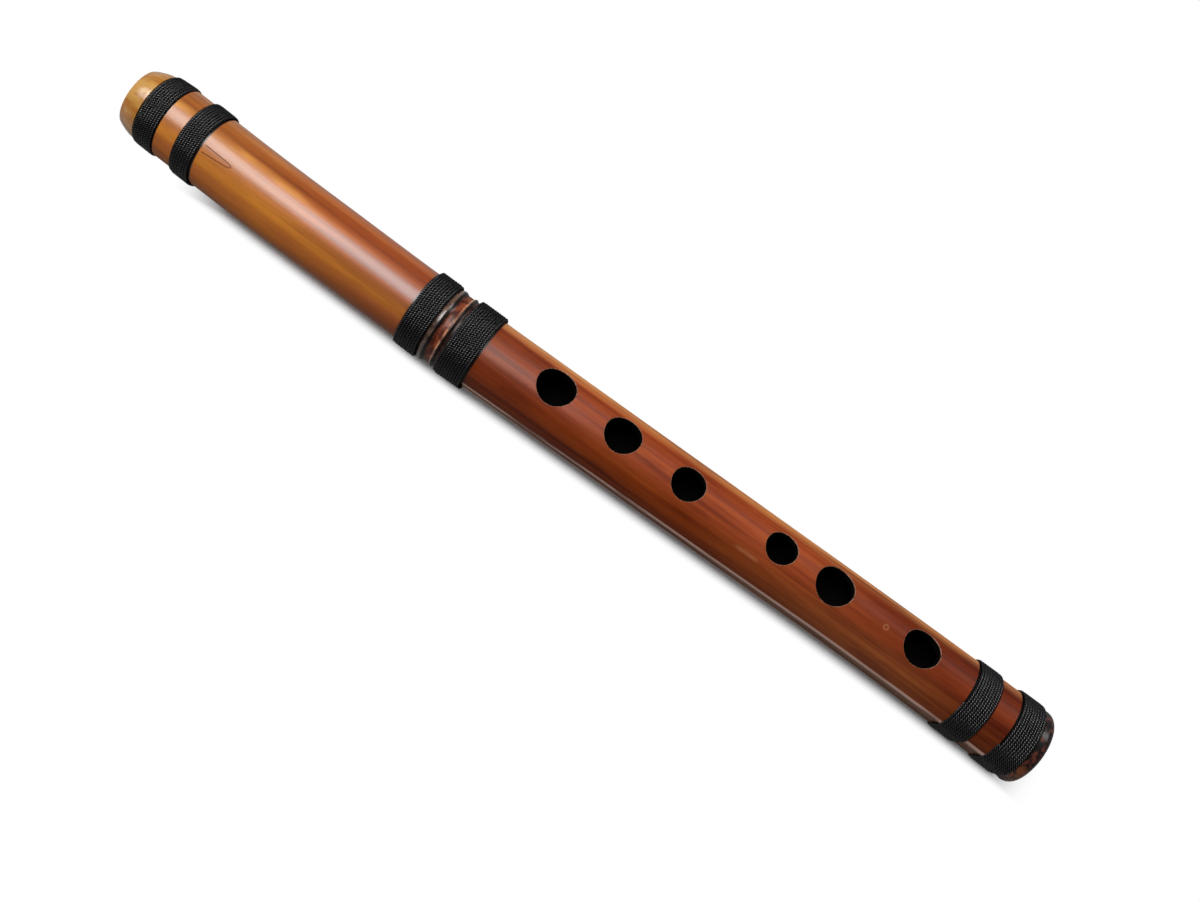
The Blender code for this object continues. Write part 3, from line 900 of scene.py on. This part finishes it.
def splinter_lines(paint, x, position):
    """1 on the hairline round the splinter, and 0 elsewhere."""
    off_middle = paint.work("ABSOLUTE", paint.apart(position, 1) - SPLINTER_SIDE)
    part = paint.work("MAXIMUM", (x - SPLINTER_START) / (SPLINTER_TIP - SPLINTER_START), 0.0)
    closed = paint.work("POWER", part, SPLINTER_BLUNTNESS)
    half_width = (1.0 - part * SPLINTER_NARROWING) * (1.0 - closed) * SPLINTER_HALF_WIDTH
    line = paint.stripe(off_middle - half_width, 0.0, SPLINTER_LINE)
    return line * paint.within(part, 0.02, 1.0, 0.02) * on_upper_half(paint, position)


def scuffs(paint, x, position, streaks):
    """A burst blister in the lacquer, and a rubbed spot: two small pale marks on the top."""
    y = paint.apart(position, 1)
    off_x, off_y = x - BLISTER[0], y - BLISTER[1]
    distance = paint.work("SQRT", off_x * off_x + off_y * off_y)
    blister = paint.stripe(distance, BLISTER_RADIUS, BLISTER_LINE)
    rubbed = paint.stripe(x, SCUFF[0], SCUFF_SIZE[0]) * paint.stripe(y, SCUFF[1], SCUFF_SIZE[1])
    rubbed = rubbed * paint.between(streaks, 0.56, 0.46)
    marks = paint.work("MAXIMUM", blister * BLISTER_SHARE, rubbed * SCUFF_SHARE)
    return marks * on_upper_half(paint, position)


print(f"the splinter is {(SPLINTER_TIP - SPLINTER_START) / MM:.1f} mm long")

# %% [markdown]
# The groove's lips are rubbed pale and carry a painted highlight on their rounded edges, the
# corners of its floor get painted shade, and the floor's brown is partly painted light. Lips and
# corners are found from the angle beyond the groove's edge: just outside it is the lip, just
# inside is the corner. Painted shade darkens the bamboo to black under and just beside each
# binding, which also closes any chink between two turns.

# %% Groove and painted shade by the bindings
# A painted highlight on the lips, painted shade in the floor's corners, and a floor brown that is partly
# painted light.
LIP_PLACE = 0.05
LIP_HALF_WIDTH = 0.10
LIP_PALE_AND_HIGHLIGHT = (0.70, 0.46, 0.38)
CORNER_PLACE = -0.075
CORNER_HALF_WIDTH = 0.05
GROOVE_BROWN_AND_LIGHT = (0.52, 0.27, 0.15)
GROOVE_SHADE = (0.24, 0.110, 0.065)
GROOVE_CORNER_SHADE = (0.045, 0.022, 0.014)
# Painted shade under each binding and just beside it.
SHADE_BY_CORDS_REACH = 0.15 * MM
SHADE_BY_CORDS_BLACK = (0.004, 0.003, 0.003)


def groove_masks(paint, x, angle):
    """The groove's lips, its floor, and the corners of the floor that get painted shade."""
    half_angle = paint.node("ShaderNodeMapRange", {}, {
        "Value": x, "From Min": GROOVE_WIDTHS[0][0], "From Max": GROOVE_WIDTHS[1][0],
        "To Min": GROOVE_WIDTHS[0][1] / (2 * SKIN_RADIUS), "To Max": GROOVE_WIDTHS[1][1] / (2 * SKIN_RADIUS),
    })
    outside = paint.work("ABSOLUTE", angle - GROOVE_BEARING) - half_angle
    along = paint.within(x, GROOVE_DEPTHS[1][0], foot_outer_right, 4 * MM)
    lip = paint.stripe(outside, LIP_PLACE, LIP_HALF_WIDTH) * along
    floor = paint.between(outside, -0.02, -0.05) * along
    return lip, floor, paint.stripe(outside, CORNER_PLACE, CORNER_HALF_WIDTH) * along


def shade_by_cords_mask(paint, x):
    """Painted shade: 1 under the bindings and just beside them."""
    total = 0.0
    for name, _, _ in BINDINGS:
        left, right = binding_span(name)
        total = paint.within(x, left + SHADE_BY_CORDS_REACH, right - SHADE_BY_CORDS_REACH, 2 * SHADE_BY_CORDS_REACH) + total
    return total


# Painted shade reaches this far past a binding.
print(f"the dye reaches {SHADE_BY_CORDS_REACH / MM:.2f} mm past a binding")

# %% [markdown]
# The finish is the sum of all that: stain, grain, wear, painted light and shade, and over it a
# clear coat. Only the colour, the roughness, the bump and the weight of the coat change over the
# surface. The coat is worn thin below the node, where the fingers lie, so that stretch shines less
# than the upper one, and it is thin on the groove's side, where the flute was held while the
# lacquer was rubbed in.

# %% The lacquered bamboo
COAT_ABOVE = 0.95
COAT_BELOW = 0.28
COAT_AT_FOOT = 0.02
COAT_ON_SIDE = 0.25
COAT_THINS = (NODE + 10 * MM, NODE + 90 * MM)
COAT_SIDE = (math.radians(50), math.radians(78))
COAT_ROUGHNESS = 0.32
COAT_IOR = 1.65


def coat_weight(paint, x, angle):
    """How thick the lacquer lies: less below the node, less again at the foot and on one side."""
    thin, thinnest = COAT_THINS
    coat = paint.between(x, thin, NODE) * (COAT_ABOVE - COAT_BELOW) + COAT_AT_FOOT
    coat = coat + paint.between(x, thinnest, thin) * (COAT_BELOW - COAT_AT_FOOT)
    return coat * (1.0 - paint.between(angle, *COAT_SIDE) * (1.0 - COAT_ON_SIDE))


def finish_bamboo(material):
    """Stained bamboo skin under a satin lacquer."""
    paint = Paint(material)
    position = paint.position()
    x = paint.apart(position, 0)
    angle = angle_round(paint, position)
    bands = paint.grain(position * BAND_SCALE, 2.0, 0.5)
    streaks = paint.grain(position * STREAK_SCALE, 4.0, 0.6)
    patches = paint.grain(position * PATCH_SCALE, 3.0, 0.55)
    fibres = paint.grain(position * FIBRE_SCALE, 2.0, 0.5)
    noises = (bands, streaks, patches, fibres)
    colour = striped(paint, stain_along(paint, x, angle), x, angle, noises)
    colour = grained(paint, colour, x, noises)
    lip, floor, corners = groove_masks(paint, x, angle)
    # Painted light: the groove floor's brown is partly its colour and partly lightened for light bouncing
    # in.
    groove_floor_tone_and_light = paint.mix(paint.between(streaks, 0.40, 0.60), GROOVE_BROWN_AND_LIGHT, GROOVE_SHADE)
    colour = paint.mix(floor * 0.85, colour, groove_floor_tone_and_light)
    # Painted shade in the corners of the groove's floor.
    colour = paint.mix(corners * 0.55, colour, GROOVE_CORNER_SHADE)
    # The pale lip: rubbed bamboo and a painted highlight on its rounded edge.
    colour = paint.mix(lip * paint.between(patches, 0.25, 0.50) * 0.95, colour, LIP_PALE_AND_HIGHLIGHT)
    colour = paint.mix(scuffs(paint, x, position, streaks), colour, SCUFF_PALE)
    lines = splinter_lines(paint, x, position)
    colour = paint.mix(lines * 0.9, colour, SPLINTER_COLOUR)
    # Painted shade under and just beside the bindings.
    colour = paint.mix(shade_by_cords_mask(paint, x), colour, SHADE_BY_CORDS_BLACK)
    uncoated = paint.work("MAXIMUM", floor, lines) * 0.85
    paint.finish(
        Base_Color=colour,
        Roughness=patches * 0.16 + 0.38,
        Normal=paint.relief(streaks * 0.5 + fibres * 0.35, 0.16, 0.0002),
        Specular_IOR_Level=0.08,
        Coat_Weight=coat_weight(paint, x, angle) * (1.0 - uncoated),
        Coat_Roughness=COAT_ROUGHNESS,
        Coat_IOR=COAT_IOR,
    )


finish_bamboo(bamboo[LACQUERED])
print("the bamboo has", len(bamboo[LACQUERED].node_tree.nodes), "nodes")

# %% [markdown]
# The mouth end is pared below the stain, so it shows ochre bamboo, rubbed smooth and oiled by
# lips and hands. It gets a finish of its own because its gloss is sharper than the lacquer's, and
# a border between two finishes is free where a binding hides it.

# %% The pared mouth
OCHRE = (0.46, 0.240, 0.055)
DEEP_OCHRE = (0.34, 0.125, 0.014)
PARED_GRAIN = (60.0, 300.0, 300.0)


def finish_pared(material):
    """Bare bamboo at the blowing end, under a sharp gloss."""
    paint = Paint(material)
    position = paint.position()
    patches = paint.grain(position * PARED_GRAIN, 3.0, 0.6)
    bumps = paint.grain(position * 420.0, 2.0, 0.5)
    colour = paint.mix(paint.between(patches, 0.38, 0.62), DEEP_OCHRE, OCHRE)
    paint.finish(
        # Painted shade under and just beside the bindings.
        Base_Color=paint.mix(shade_by_cords_mask(paint, paint.apart(position, 0)), colour, SHADE_BY_CORDS_BLACK),
        Roughness=patches * 0.2 + 0.3,
        Normal=paint.relief(bumps, 0.35, 0.0005),
        Specular_IOR_Level=0.2,
        Coat_Weight=1.0,
        Coat_Roughness=0.20,
        Coat_IOR=COAT_IOR,
    )


finish_pared(bamboo[PARED])
print("the pared mouth has", len(bamboo[PARED].node_tree.nodes), "nodes")

# %% [markdown]
# At the node the skin is scorched: a dark ridge, a black crease, a red-brown mottled band, the
# line of the sheath scar, painted pale partly as its own colour and partly as a highlight, and
# dark again. A ramp with a stop for each ring draws them, and a mottle breaks it up. Only what
# stands up is polished, and soot in the creases takes no coat.

# %% The scorched node
NODE_RINGS = (
    (0.00, (0.012, 0.006, 0.004)),
    (0.11, (0.080, 0.044, 0.030)),
    (0.25, (0.110, 0.062, 0.040)),
    (0.30, (0.004, 0.003, 0.002)),
    (0.36, (0.005, 0.003, 0.002)),
    (0.40, (0.110, 0.024, 0.010)),
    (0.62, (0.200, 0.042, 0.014)),
    # The sheath scar's pale line: partly its own colour, partly a painted highlight.
    (0.65, (0.420, 0.190, 0.100)),
    (0.69, (0.360, 0.150, 0.080)),
    (0.72, (0.012, 0.006, 0.004)),
    (0.80, (0.016, 0.007, 0.005)),
    (0.90, (0.070, 0.026, 0.016)),
    (1.00, (0.012, 0.006, 0.004)),
)
RAISED = ((0.19, 0.12), (0.67, 0.05))
MOTTLE_SCALE = (560.0, 380.0, 380.0)
SOOT = (0.22, 0.16, 0.14)


def finish_scorched(material):
    """The node's rings by a ramp along the tube, broken up by soot."""
    paint = Paint(material)
    position = paint.position()
    x = paint.apart(position, 0)
    part = (x - SCORCH_START) / (SCORCH_END - SCORCH_START)
    mottle = paint.grain(position * MOTTLE_SCALE, 3.0, 0.6)
    rings = paint.node("ShaderNodeValToRGB", {"stops": NODE_RINGS}, {0: part})
    colour = paint.mix(paint.between(mottle, 0.42, 0.60) * 0.9, rings, rings * SOOT)
    raised = paint.stripe(part, *RAISED[0]) + paint.stripe(part, *RAISED[1])
    paint.finish(
        # Painted shade under and just beside the bindings.
        Base_Color=paint.mix(shade_by_cords_mask(paint, x), colour, SHADE_BY_CORDS_BLACK),
        Roughness=mottle * 0.3 + 0.3,
        Normal=paint.relief(mottle, 0.25, 0.0003),
        Specular_IOR_Level=0.15,
        Coat_Weight=raised * 0.85 + 0.15,
        Coat_Roughness=0.22,
        Coat_IOR=COAT_IOR,
    )


finish_scorched(bamboo[SCORCHED])
print("the node's rings are", round((SCORCH_END - SCORCH_START) / MM, 1), "mm long in all")

# %% [markdown]
# The foot's edge was rounded and charred with a flame. It is nearly black, crumbled to brown in
# spots, with one red-brown patch left on the groove's side, and the coat over it is uneven, which
# the bump shows as broken glints.

# %% The charred foot
CHAR_BLACK = (0.006, 0.004, 0.004)
CHAR_BROWN = (0.085, 0.022, 0.012)
CHAR_PATCH = (0.170, 0.048, 0.018)
PATCH_BEARING = math.radians(72)
PATCH_HALF_WIDTH = math.radians(28)


def finish_charred(material):
    """Rounded foot that a flame has charred."""
    paint = Paint(material)
    position = paint.position()
    mottle = paint.grain(position * MOTTLE_SCALE, 3.0, 0.6)
    lumps = paint.grain(position * 300.0, 2.0, 0.5)
    colour = paint.mix(paint.between(mottle, 0.48, 0.62), CHAR_BLACK, CHAR_BROWN)
    patch = paint.stripe(angle_round(paint, position), PATCH_BEARING, PATCH_HALF_WIDTH)
    colour = paint.mix(patch * paint.between(mottle, 0.36, 0.50), colour, CHAR_PATCH)
    paint.finish(
        # Painted shade under and just beside the bindings.
        Base_Color=paint.mix(shade_by_cords_mask(paint, paint.apart(position, 0)), colour, SHADE_BY_CORDS_BLACK),
        Roughness=mottle * 0.3 + 0.3,
        Normal=paint.relief(lumps + mottle * 0.4, 0.4, 0.0006),
        Specular_IOR_Level=0.15,
        Coat_Weight=0.3,
        Coat_Roughness=0.26,
        Coat_IOR=COAT_IOR,
    )


finish_charred(bamboo[CHARRED])
print("the charred foot has", len(bamboo[CHARRED].node_tree.nodes), "nodes")

# %% [markdown]
# Round each hole the file went through the stain into raw bamboo, painted pale partly as its
# own colour and partly as a highlight on the eased edge. It is only a quarter of a millimetre
# wide, but it draws the light line that shows how thick the edge is.

# %% The filed edges
FILED_PALE_AND_HIGHLIGHT = (0.30, 0.155, 0.095)
FILED_BROWN = (0.07, 0.028, 0.015)


def finish_filed(material):
    """Raw bamboo that the file laid bare round a hole, painted pale partly as a highlight."""
    paint = Paint(material)
    marks = paint.grain(paint.position() * 1300.0, 3.0, 0.6)
    paint.finish(
        # Painted highlight: the pale of the filed edge is partly raw bamboo and partly the light it catches.
        Base_Color=paint.mix(paint.between(marks, 0.40, 0.64), FILED_PALE_AND_HIGHLIGHT, FILED_BROWN),
        Roughness=marks * 0.2 + 0.25,
        Normal=paint.relief(marks, 0.2, 0.0001),
        Specular_IOR_Level=0.5,
    )


finish_filed(bamboo[FILED])
print("the filed edge has", len(bamboo[FILED].node_tree.nodes), "nodes")

# %% [markdown]
# Inside the holes and down the bore the bamboo is charred: nearly black, dull and a little
# crumbly. A dark surface needs its gloss turned down too, or it reflects the room and looks grey.

# %% The burnt walls
BURNT_BLACK = (0.0020, 0.0016, 0.0016)
BURNT_BROWN = (0.0060, 0.0036, 0.0026)


def finish_burnt(material):
    """Charred wall of a finger hole, and the dark bore behind it."""
    paint = Paint(material)
    crumbs = paint.grain(paint.position() * 900.0, 4.0, 0.6)
    paint.finish(
        Base_Color=paint.mix(paint.between(crumbs, 0.42, 0.70), BURNT_BLACK, BURNT_BROWN),
        Roughness=crumbs * 0.3 + 0.6,
        Normal=paint.relief(crumbs, 0.4, 0.0002),
        Specular_IOR_Level=0.05,
    )


finish_burnt(bamboo[BURNT])
print("the burnt walls have", len(bamboo[BURNT].node_tree.nodes), "nodes")

# %% [markdown]
# The cord is waxed black thread. Its strands are real shapes already, so the material only adds
# the fibres: fine noise in the bump, a slight change of grey from place to place, and a sheen
# that is sharp enough to draw a glint on every strand. No light gets into the creases between
# the strands, so the faces there have a dull finish of their own. The two bindings at the foot
# are painted a little lighter grey.

# %% The cord
CORD_BLACK = (0.0010, 0.0010, 0.0014)
CORD_GREY = (0.0060, 0.0063, 0.0090)
CREASE_BLACK = (0.0006, 0.0006, 0.0008)
FOOT_CORD_GREY = (0.0080, 0.0075, 0.0085)
FOOT_CORD_GREY_START = NODE + 60 * MM


def finish_cord(material):
    """Black cord with a waxy sheen."""
    paint = Paint(material)
    position = paint.position()
    fibre = paint.grain(position * 3600.0, 3.0, 0.6)
    wear = paint.grain(position * 260.0, 2.0, 0.5)
    colour = paint.mix(paint.between(fibre, 0.35, 0.72), CORD_BLACK, CORD_GREY)
    colour = paint.mix(paint.between(wear, 0.45, 0.7) * 0.6, colour, colour * 1.8)
    # The bindings at the foot are painted a little lighter grey.
    greyer_at_foot = paint.between(paint.apart(position, 0), FOOT_CORD_GREY_START, foot_inner_left)
    paint.finish(
        Base_Color=colour + paint.mix(greyer_at_foot, (0.0, 0.0, 0.0), FOOT_CORD_GREY),
        Roughness=fibre * 0.16 + 0.22,
        Normal=paint.relief(fibre, 0.25, 0.0001),
        Specular_IOR_Level=1.0,
    )


def finish_crease(material):
    """The shaded flanks between two strands of the cord."""
    paint = Paint(material)
    lint = paint.grain(paint.position() * 2000.0, 2.0, 0.5)
    paint.finish(
        Base_Color=paint.mix(lint, CREASE_BLACK, CORD_BLACK),
        Roughness=lint * 0.2 + 0.6,
        Specular_IOR_Level=0.10,
    )


cord_finishes = [bpy.data.materials.new("cord_crown"), bpy.data.materials.new("cord_crease")]
finish_cord(cord_finishes[CROWN])
finish_crease(cord_finishes[CREASE])
for cord in cords:
    for finish in cord_finishes:
        cord.data.materials.append(finish)
print("the cord's sheen has", len(cord_finishes[CROWN].node_tree.nodes), "nodes")

# %% [markdown]
# The flute lies on white paper. Under plain light a white sheet renders as a pale grey, so to the
# camera it turns into a glow of strength 1, which is white. Close beside the flute nearly all of
# it stays paper, which keeps the shadow, and a centimetre away it is all glow. In reflections
# only the paper beside the flute is bright, or the dark lacquer would look milky.

# %% The floor
FLOOR_HALF_WIDTH = 3.0
PAPER = (0.92, 0.93, 0.95)
PAPER_AROUND = (0.24, 0.23, 0.22)
PAPER_GLOW = 0.08
SHADOW_SIDES = (8.1 * MM, 12.4 * MM)
SHADOW_AT_FOOT = (168.0 * MM, 190.0 * MM)
SHADOW_AT_MOUTH = (-132.0 * MM, -156.0 * MM)


def make_floor():
    """A flat sheet under the flute."""
    shape = bmesh.new()
    far = FLOOR_HALF_WIDTH
    corners = [(-far, -far, 0.0), (far, -far, 0.0), (far, far, 0.0), (-far, far, 0.0)]
    shape.faces.new([shape.verts.new(corner) for corner in corners])
    floor = add_piece("floor", shape)
    paint = Paint(bpy.data.materials.new("white_paper"))
    seen = paint.seen()
    position = paint.position()
    x = paint.apart(position, 0)
    off_axis = paint.work("ABSOLUTE", paint.apart(position, 1) - axis_side(paint, x))
    beside = paint.between(off_axis, *SHADOW_SIDES)
    beyond = paint.between(x, *SHADOW_AT_FOOT) + paint.between(x, *SHADOW_AT_MOUTH)
    away = paint.work("MAXIMUM", beside, beyond)
    paint.finish(
        Base_Color=paint.mix(away * (1.0 - seen), PAPER, PAPER_AROUND),
        Roughness=0.9,
        Specular_IOR_Level=0.1,
    )
    glow = paint.node("ShaderNodeEmission", {}, {"Color": (1, 1, 1), "Strength": 1.0})
    lit = Wire(paint, paint.shader.outputs[0])
    share = seen * (away * (1.0 - PAPER_GLOW) + PAPER_GLOW)
    paint.set_surface(paint.node("ShaderNodeMixShader", {}, {0: share, 1: lit, 2: glow}))
    floor.data.materials.append(paint.owner)


make_floor()
print("the floor is", 2 * FLOOR_HALF_WIDTH, "m across")

# %% [markdown]
# One bright softbox hangs over the mouth end, a little to the groove's side, and draws the broad
# highlight down the upper stretch. A second one hangs beyond the mouth and shines on its dome. A
# third hangs behind the foot, where it lights the far edge and lays a shadow on the groove's
# side. The room is white to the camera. To everything else it is dim, darkest on the side where
# the camera is and paler towards the horizon behind the flute, which draws a soft line along the
# far edge.

# %% The light
ROOM_WHITE = (1.0, 1.0, 1.0)
ROOM_BEHIND = (0.19, 0.19, 0.20)
ROOM_IN_FRONT = (0.07, 0.065, 0.06)
ROOM_CEILING = (0.07, 0.07, 0.075)
HORIZON = (0.05, 0.45)
LIT_SIDE = (-0.3, 0.4)
# Name, place, size along the flute, size across it, and watts.
SOFTBOXES = (
    ("mouth_softbox", (-0.39, -0.07, 0.90), 0.72, 0.54, 9.8),
    ("dome_softbox", (-1.14, -0.04, 0.80), 0.70, 0.52, 5.0),
    ("foot_softbox", (0.42, 0.60, 0.86), 0.90, 0.36, 7.2),
)


def hang_softbox(name, centre, along, across, watts):
    """A rectangular lamp that hangs level and shines straight down."""
    data = bpy.data.lights.new(name, "AREA")
    data.shape = "RECTANGLE"
    data.size = along
    data.size_y = across
    data.energy = watts
    lamp = bpy.data.objects.new(name, data)
    bpy.context.scene.collection.objects.link(lamp)
    lamp.location = centre


def make_room():
    """The world: white where the camera sees it, and dim for the light that it gives."""
    world = bpy.data.worlds.new("white_tent")
    bpy.context.scene.world = world
    room = Paint(world)
    direction = room.node("ShaderNodeTexCoord")
    height = room.apart(direction, 2)
    low = room.mix(room.between(room.apart(direction, 1), *LIT_SIDE), ROOM_IN_FRONT, ROOM_BEHIND)
    dim_colour = room.mix(room.between(height, *HORIZON), low, ROOM_CEILING)
    dim = room.node("ShaderNodeBackground", {}, {"Color": dim_colour, "Strength": 1.0})
    white = room.node("ShaderNodeBackground", {}, {"Color": ROOM_WHITE, "Strength": 1.0})
    low_down = room.between(height, HORIZON[1], HORIZON[0])
    camera_ray = room.node("ShaderNodeLightPath")
    share = room.work("MAXIMUM", room.seen() * low_down, camera_ray)
    room.set_surface(room.node("ShaderNodeMixShader", {}, {0: share, 1: dim, 2: white}))


make_room()
for softbox in SOFTBOXES:
    hang_softbox(*softbox)
print(len(SOFTBOXES), "softboxes are in place")

# %% [markdown]
# The camera looks almost straight down, from the groove's side, and is turned so that the flute
# runs from the upper left to the lower right. Its place and turn are given as two directions of
# the picture, to its right and downwards, which say more than three angles would.

# %% The camera
CAMERA_PLACE = Vector((1.7, -167.875, 389.0)) * MM
PICTURE_RIGHT = Vector((0.8096, 0.5332, 0.2455))
PICTURE_DOWN = Vector((0.5868, -0.7455, -0.3161))
FOCAL_PIXELS = 1293.3
PICTURE_WIDTH = 1200
SENSOR_WIDTH = 36.0


def aim_camera():
    """Set the camera at its place, with its sides along the picture's right and up."""
    data = bpy.data.cameras.new("camera")
    data.sensor_width = SENSOR_WIDTH
    data.lens = FOCAL_PIXELS * SENSOR_WIDTH / PICTURE_WIDTH
    data.clip_start = 0.01
    camera = bpy.data.objects.new("camera", data)
    bpy.context.scene.collection.objects.link(camera)
    right = PICTURE_RIGHT.normalized()
    back = right.cross(-PICTURE_DOWN).normalized()
    up = back.cross(right)
    turn = Matrix((right, up, back)).transposed().to_4x4()
    camera.matrix_world = Matrix.Translation(CAMERA_PLACE) @ turn
    bpy.context.scene.camera = camera


aim_camera()
bpy.context.scene.view_settings.view_transform = "Standard"
print("the camera is set")
